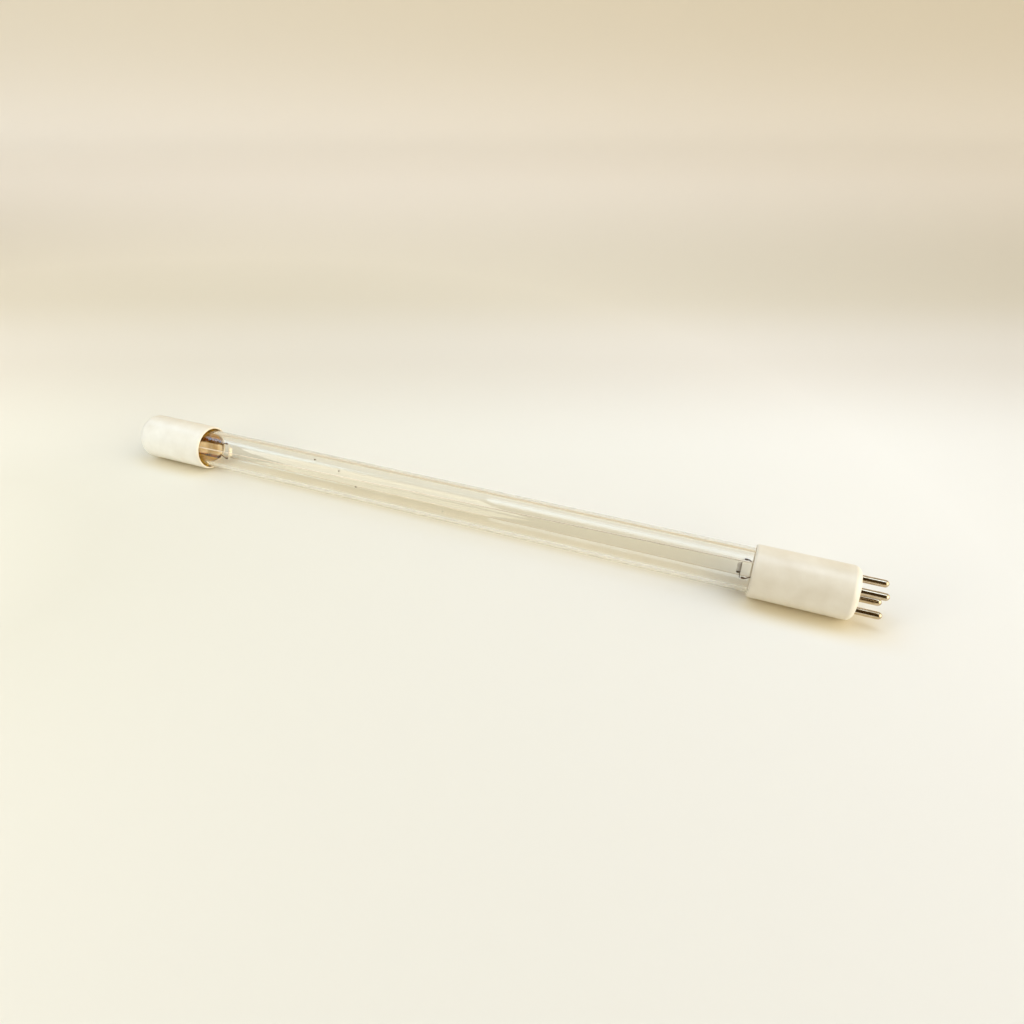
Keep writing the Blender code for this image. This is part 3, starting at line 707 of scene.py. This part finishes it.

# Cured basing cement: matt golden brown with crumbs about 2 mm wide. Painted shade makes every face that
# looks towards the pins' end (+X) dark brown; at the far mouth these are the cement's shaded front faces
cement, shader = new_material("cured_basing_cement")
shader.inputs["Roughness"].default_value = 0.8
coords = add_node(cement, "ShaderNodeTexCoord", {}, {})
crumbs = add_node(cement, "ShaderNodeTexNoise", {"Scale": 420.0, "Detail": 5.0},
                  {"Vector": coords.outputs["Object"]})
tones = add_node(cement, "ShaderNodeValToRGB", {}, {"Fac": crumbs.outputs["Fac"]})
tones.color_ramp.elements[0].position = 0.32
tones.color_ramp.elements[0].color = linear("B08518")
tones.color_ramp.elements[1].position = 0.62
tones.color_ramp.elements[1].color = linear("E2B83A")
# Painted shade: faces whose normal points towards +X are mixed to dark brown
faces = add_node(cement, "ShaderNodeNewGeometry", {}, {})
facing = add_node(cement, "ShaderNodeSeparateXYZ", {}, {"Vector": faces.outputs["Normal"]})
shaded_front = add_node(cement, "ShaderNodeMapRange", {"From Min": 0.35, "From Max": 0.75},
                    {"Value": facing.outputs["X"]})
front_shaded = add_node(cement, "ShaderNodeMix", {"data_type": "RGBA", 7: linear("5A4410")},
                   {0: shaded_front.outputs["Result"], 6: tones.outputs["Color"]})
cement.node_tree.links.new(front_shaded.outputs[2], shader.inputs["Base Color"])
bump = add_node(cement, "ShaderNodeBump", {"Strength": 0.8, "Distance": 0.0002},
                {"Height": crumbs.outputs["Fac"]})
cement.node_tree.links.new(bump.outputs["Normal"], shader.inputs["Normal"])

for end, mouth, inwards, front in (("far", FAR_MOUTH, -1, FRONT_WIRE_FAR_ANGLE),
                                   ("base", BASE_MOUTH, 1, FRONT_WIRE_BASE_ANGLE)):
    for number, first_angle, last_angle in (
            (1, front - CEMENT_WIRE_ROOM, BACK_WIRE_ANGLE + CEMENT_WIRE_ROOM),
            (2, front + CEMENT_WIRE_ROOM, BACK_WIRE_ANGLE + 360 - CEMENT_WIRE_ROOM)):
        deselect_all()
        columns = round(abs(last_angle - first_angle) / DEGREES_PER_COLUMN)
        bpy.ops.mesh.primitive_grid_add(x_subdivisions=16, y_subdivisions=columns, size=1)
        dab = bpy.context.object
        thicken = dab.modifiers.new("thick", "SOLIDIFY")
        thicken.thickness = 1.0
        thicken.offset = 0
        bpy.ops.object.modifier_apply(modifier=thicken.name)
        for vertex in dab.data.vertices:
            depth, turn_share, layer = vertex.co.x + 0.5, vertex.co.y + 0.5, vertex.co.z + 0.5
            angle = first_angle + (last_angle - first_angle) * turn_share
            uneven = noise.noise(Vector((angle * 0.09, number * 7.7, inwards * 3.1)))
            crumb = noise.noise(Vector((angle * 0.5, 0, 2.2)))
            begin = CEMENT_INSET + CEMENT_UNEVEN * abs(uneven) + CEMENT_CRUMBS * crumb
            x = mouth + inwards * (begin + depth * (CEMENT_LENGTH - begin))
            radius = CEMENT_INNER + layer * (CEMENT_OUTER - CEMENT_INNER)
            vertex.co = around(x, radius, angle)
        bpy.ops.object.mode_set(mode="EDIT")
        bpy.ops.mesh.select_all(action="SELECT")
        bpy.ops.mesh.normals_make_consistent(inside=False)
        dab = finish_piece(f"{end}_cement_dab_{number}", Matrix(), 50)
        dab.data.materials.append(cement)
        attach(dab, "root")
        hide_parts(f"{end}_cement_{number}")


# Table. A sheet of pale matt paper lies level under the lamp and rises in a wide bend far behind it.
# Its colour holds painted shade: darker at the left, where the windows light it most, and warm painted
# shadows right under the lamp. It changes tone in soft bands behind it.
TABLE_WIDTH = 8
TABLE_DEPTH = 4
SWEEP_START = 0.9
SWEEP_RADIUS = 0.6
SWEEP_STEPS = 24
WALL_HEIGHT = 1.5
BACKDROP_TURN = math.radians(21.4)
deselect_all()
bpy.ops.mesh.primitive_plane_add(size=1, location=(0, 0, 0))
bpy.ops.object.mode_set(mode="EDIT")
bpy.ops.mesh.select_all(action="SELECT")
bpy.ops.transform.resize(value=(TABLE_WIDTH, TABLE_DEPTH, 1))
bpy.ops.transform.translate(value=(0, SWEEP_START - TABLE_DEPTH / 2, 0))
pick_edges(lambda edge: all(v.co.y > SWEEP_START - 0.01 for v in edge.verts))
stride = SWEEP_RADIUS * math.pi / 2 / SWEEP_STEPS
for step in range(SWEEP_STEPS):
    angle = math.radians(90 * (step + 0.5) / SWEEP_STEPS)
    bpy.ops.mesh.extrude_region_move(TRANSFORM_OT_translate={
        "value": (0, math.cos(angle) * stride, math.sin(angle) * stride)})
bpy.ops.mesh.extrude_region_move(TRANSFORM_OT_translate={"value": (0, 0, WALL_HEIGHT)})
bpy.ops.object.mode_set(mode="OBJECT")
floor = bpy.context.object
floor.name = "table_sweep"
floor.rotation_euler = (0, 0, BACKDROP_TURN)
bpy.ops.object.shade_smooth()

# Matt paper: hardly any gloss. Its tones are painted by place, in the turned sheet's own coordinates.
BACK_DEPTH = 1.6
PAINTED_SHADE_LEFT_SPOT = (-0.19, -0.03, 0)
ALONG_LAMP = (0.931, -0.365, 0)
ACROSS_LAMP = (0.365, 0.931, 0)
paper, shader = new_material("matt_table_paper")
shader.inputs["Roughness"].default_value = 0.9
shader.inputs["Specular IOR Level"].default_value = 0.2
coords = add_node(paper, "ShaderNodeTexCoord", {}, {})
place = add_node(paper, "ShaderNodeSeparateXYZ", {}, {"Vector": coords.outputs["Object"]})
# Painted shade: the paper is darker round a spot at the left, where the windows light it most
far_off = add_node(paper, "ShaderNodeVectorMath", {"operation": "DISTANCE", 1: PAINTED_SHADE_LEFT_SPOT},
                   {0: coords.outputs["Object"]})
spread = add_node(paper, "ShaderNodeMapRange", {"From Min": 0.06, "From Max": 0.38},
                  {"Value": far_off.outputs["Value"]})
left_shade = add_node(paper, "ShaderNodeValToRGB", {}, {"Fac": spread.outputs["Result"]})
left_shade.color_ramp.elements[0].color = linear("CFCEC7")
left_shade.color_ramp.elements[1].color = linear("FFFFFF")
back = add_node(paper, "ShaderNodeMath", {"operation": "DIVIDE", 1: BACK_DEPTH},
                {0: place.outputs["Y"]})
back_tones = add_node(paper, "ShaderNodeValToRGB", {}, {"Fac": back.outputs[0]})
back_tones.color_ramp.interpolation = "EASE"
back_tones.color_ramp.elements[0].position = 0.10
back_tones.color_ramp.elements[0].color = linear("EBE6DD")
back_tones.color_ramp.elements[1].position = 0.85
back_tones.color_ramp.elements[1].color = linear("E5DECF")
for position, colour in ((0.165, "E2DBCB"), (0.42, "FAF5EE"), (0.60, "F9F5EF")):
    back_tones.color_ramp.elements.new(position).color = linear(colour)
fade = add_node(paper, "ShaderNodeMapRange",
                {"From Min": 0.05, "From Max": 0.16, "interpolation_type": "SMOOTHSTEP"},
                {"Value": place.outputs["Y"]})
tones = add_node(paper, "ShaderNodeMix", {"data_type": "RGBA", 6: linear("F9F8F3")},
                 {0: fade.outputs["Result"], 7: back_tones.outputs["Color"]})
tones = add_node(paper, "ShaderNodeMix", {"data_type": "RGBA", "blend_type": "MULTIPLY", 0: 1.0},
                 {6: tones.outputs[2], 7: left_shade.outputs["Color"]})
# Painted shadow: warm, darker patches under the tube, the base and the far cap, where their shadows fall,
# fade out from a share of their half size
for centre, half_length, half_width, core, colour in (
        ((0.0033, 0.0084, 0), 0.125, 0.0150, 0.62, "F4EEE0"),
        ((0.1127, -0.0482, 0), 0.034, 0.0130, 0.15, "FBF2DC"),
        ((-0.1216, 0.0433, 0), 0.028, 0.0110, 0.15, "FFF9EC")):
    from_centre = add_node(paper, "ShaderNodeVectorMath", {"operation": "SUBTRACT", 1: centre},
                           {0: coords.outputs["Object"]})
    masks = []
    for direction, half in ((ALONG_LAMP, half_length), (ACROSS_LAMP, half_width)):
        off = add_node(paper, "ShaderNodeVectorMath", {"operation": "DOT_PRODUCT", 1: direction},
                       {0: from_centre.outputs["Vector"]})
        off = add_node(paper, "ShaderNodeMath", {"operation": "ABSOLUTE"}, {0: off.outputs["Value"]})
        masks.append(add_node(
            paper, "ShaderNodeMapRange",
            {"From Min": half, "From Max": half * core, "interpolation_type": "SMOOTHSTEP"},
            {"Value": off.outputs[0]}))
    under = add_node(paper, "ShaderNodeMath", {"operation": "MULTIPLY"},
                     {0: masks[0].outputs["Result"], 1: masks[1].outputs["Result"]})
    tones = add_node(paper, "ShaderNodeMix",
                     {"data_type": "RGBA", "blend_type": "MULTIPLY", 7: linear(colour)},
                     {0: under.outputs[0], 6: tones.outputs[2]})
paper.node_tree.links.new(tones.outputs[2], shader.inputs["Base Color"])
floor.data.materials.append(paper)


# Light. A soft box hangs over the base end, two soft windows stand at the left, and a lamp washes the
# backdrop. The fills light only the far cap, the base, the table or what is seen in the cap's mouth,
# and no reflection shows them.
lit = {}
for group, wanted in (
        ("all_but_cap", lambda name: name != "closed_end_cap" and "stem" not in name),
        ("all_but_stems", lambda name: "stem" not in name),
        ("cap", lambda name: name == "closed_end_cap"),
        ("base", lambda name: name == "four_pin_base"),
        ("table", lambda name: name == "table_sweep"),
        ("inside", lambda name: name.startswith("far_"))):
    lit[group] = bpy.data.collections.new("lit_" + group)
    for piece in bpy.context.scene.objects:
        if wanted(piece.name):
            lit[group].objects.link(piece)
for name, spot, aim, roll, width, height, power, colour, lights in (
        ("left_window", (-0.20, -0.150, 0.270), (-0.20, 0, AXIS_HEIGHT), 12,
         0.235, 0.25, 0.50, "FAFFFF", "all_but_cap"),
        ("far_left_window", (-0.485, -0.105, 0.19), (-0.11, 0, AXIS_HEIGHT), 0,
         0.17, 0.12, 0.16, "FFFCF8", "all_but_stems"),
        ("overhead_soft_box", (0.10, 0.10, 0.60), (0.10, 0, AXIS_HEIGHT), 0,
         0.6, 0.32, 1.59, "D6E8FF", "all_but_stems"),
        ("backdrop_wash", (-1.9, 0.45, 1.7), (-1.3, 1.4, 0.5), 0, 2.0, 0.5, 9.75, "CAE3FF", None),
        ("cap_fill", (-0.31, -0.32, 0.16), (-0.13, 0, AXIS_HEIGHT), 0,
         0.2, 0.15, 1.07, "CDE5FF", "cap"),
        ("table_fill", (-0.31, -0.32, 0.16), (-0.13, 0, AXIS_HEIGHT), 0,
         0.2, 0.15, 0.52, "FFF4DA", "table"),
        ("base_fill", (0.40, -0.10, 0.06), (0.14, 0, AXIS_HEIGHT), 0,
         0.1, 0.1, 0.22, "CDE5FF", "base"),
        ("mouth_fill", (0.08, -0.15, 0.09), (-0.1135, 0, AXIS_HEIGHT), 0,
         0.05, 0.05, 0.36, "FFE3A0", "inside")):
    lamp = bpy.data.lights.new(name, "AREA")
    lamp.shape = "RECTANGLE"
    lamp.size = width
    lamp.size_y = height
    lamp.energy = power
    lamp.color = linear(colour)[:3]
    lamp_object = bpy.data.objects.new(name, lamp)
    facing = (Vector(aim) - Vector(spot)).to_track_quat("-Z", "Y").to_matrix().to_4x4()
    lamp_object.matrix_world = (Matrix.Translation(spot) @ facing
                                @ Matrix.Rotation(math.radians(roll), 4, "Z"))
    bpy.context.collection.objects.link(lamp_object)
    if lights:
        lamp_object.light_linking.receiver_collection = lit[lights]
    if name.endswith("fill"):
        lamp_object.visible_glossy = False
        lamp_object.visible_transmission = False


# Room. It is bright and warm on the right and dark brown elsewhere, which shows only in reflections
# and in the shade. Past the table the camera sees a plain pale wall instead.
TOWARDS_BRIGHT_WALL = (0.93, -0.15, 0.3)
world = bpy.data.worlds.new("pale_room")
bpy.context.scene.world = world
world.use_nodes = True
air = world.node_tree.nodes["Background"]
coords = add_node(world, "ShaderNodeTexCoord", {}, {})
to_right = add_node(world, "ShaderNodeVectorMath",
                    {"operation": "DOT_PRODUCT", 1: TOWARDS_BRIGHT_WALL},
                    {0: coords.outputs["Generated"]})
glow = add_node(world, "ShaderNodeMapRange", {"From Min": 0.5, "interpolation_type": "SMOOTHSTEP"},
                {"Value": to_right.outputs["Value"]})
walls = add_node(world, "ShaderNodeValToRGB", {}, {"Fac": glow.outputs["Result"]})
walls.color_ramp.elements[0].color = linear("281F10")
walls.color_ramp.elements[1].color = linear("FFF5E0")
path = add_node(world, "ShaderNodeLightPath", {}, {})
seen = add_node(world, "ShaderNodeMix", {"data_type": "RGBA", 7: linear("8E897C")},
                {0: path.outputs["Is Camera Ray"], 6: walls.outputs["Color"]})
world.node_tree.links.new(seen.outputs[2], air.inputs["Color"])
air.inputs["Strength"].default_value = 3.1
bpy.context.scene.view_settings.view_transform = "Standard"


# Camera. A short lens in front of the lamp, near its base end and 160 mm above the table, looks down
# and back along the lamp.
lens = bpy.data.cameras.new("camera")
lens.lens = 25.23
lens.sensor_width = 36
lens.clip_start = 0.005
camera = bpy.data.objects.new("camera", lens)
camera.location = (0.09719, -0.19647, 0.15889)
camera.rotation_euler = (math.radians(54.886), 0, math.radians(21.397))
bpy.context.collection.objects.link(camera)
bpy.context.scene.camera = camera
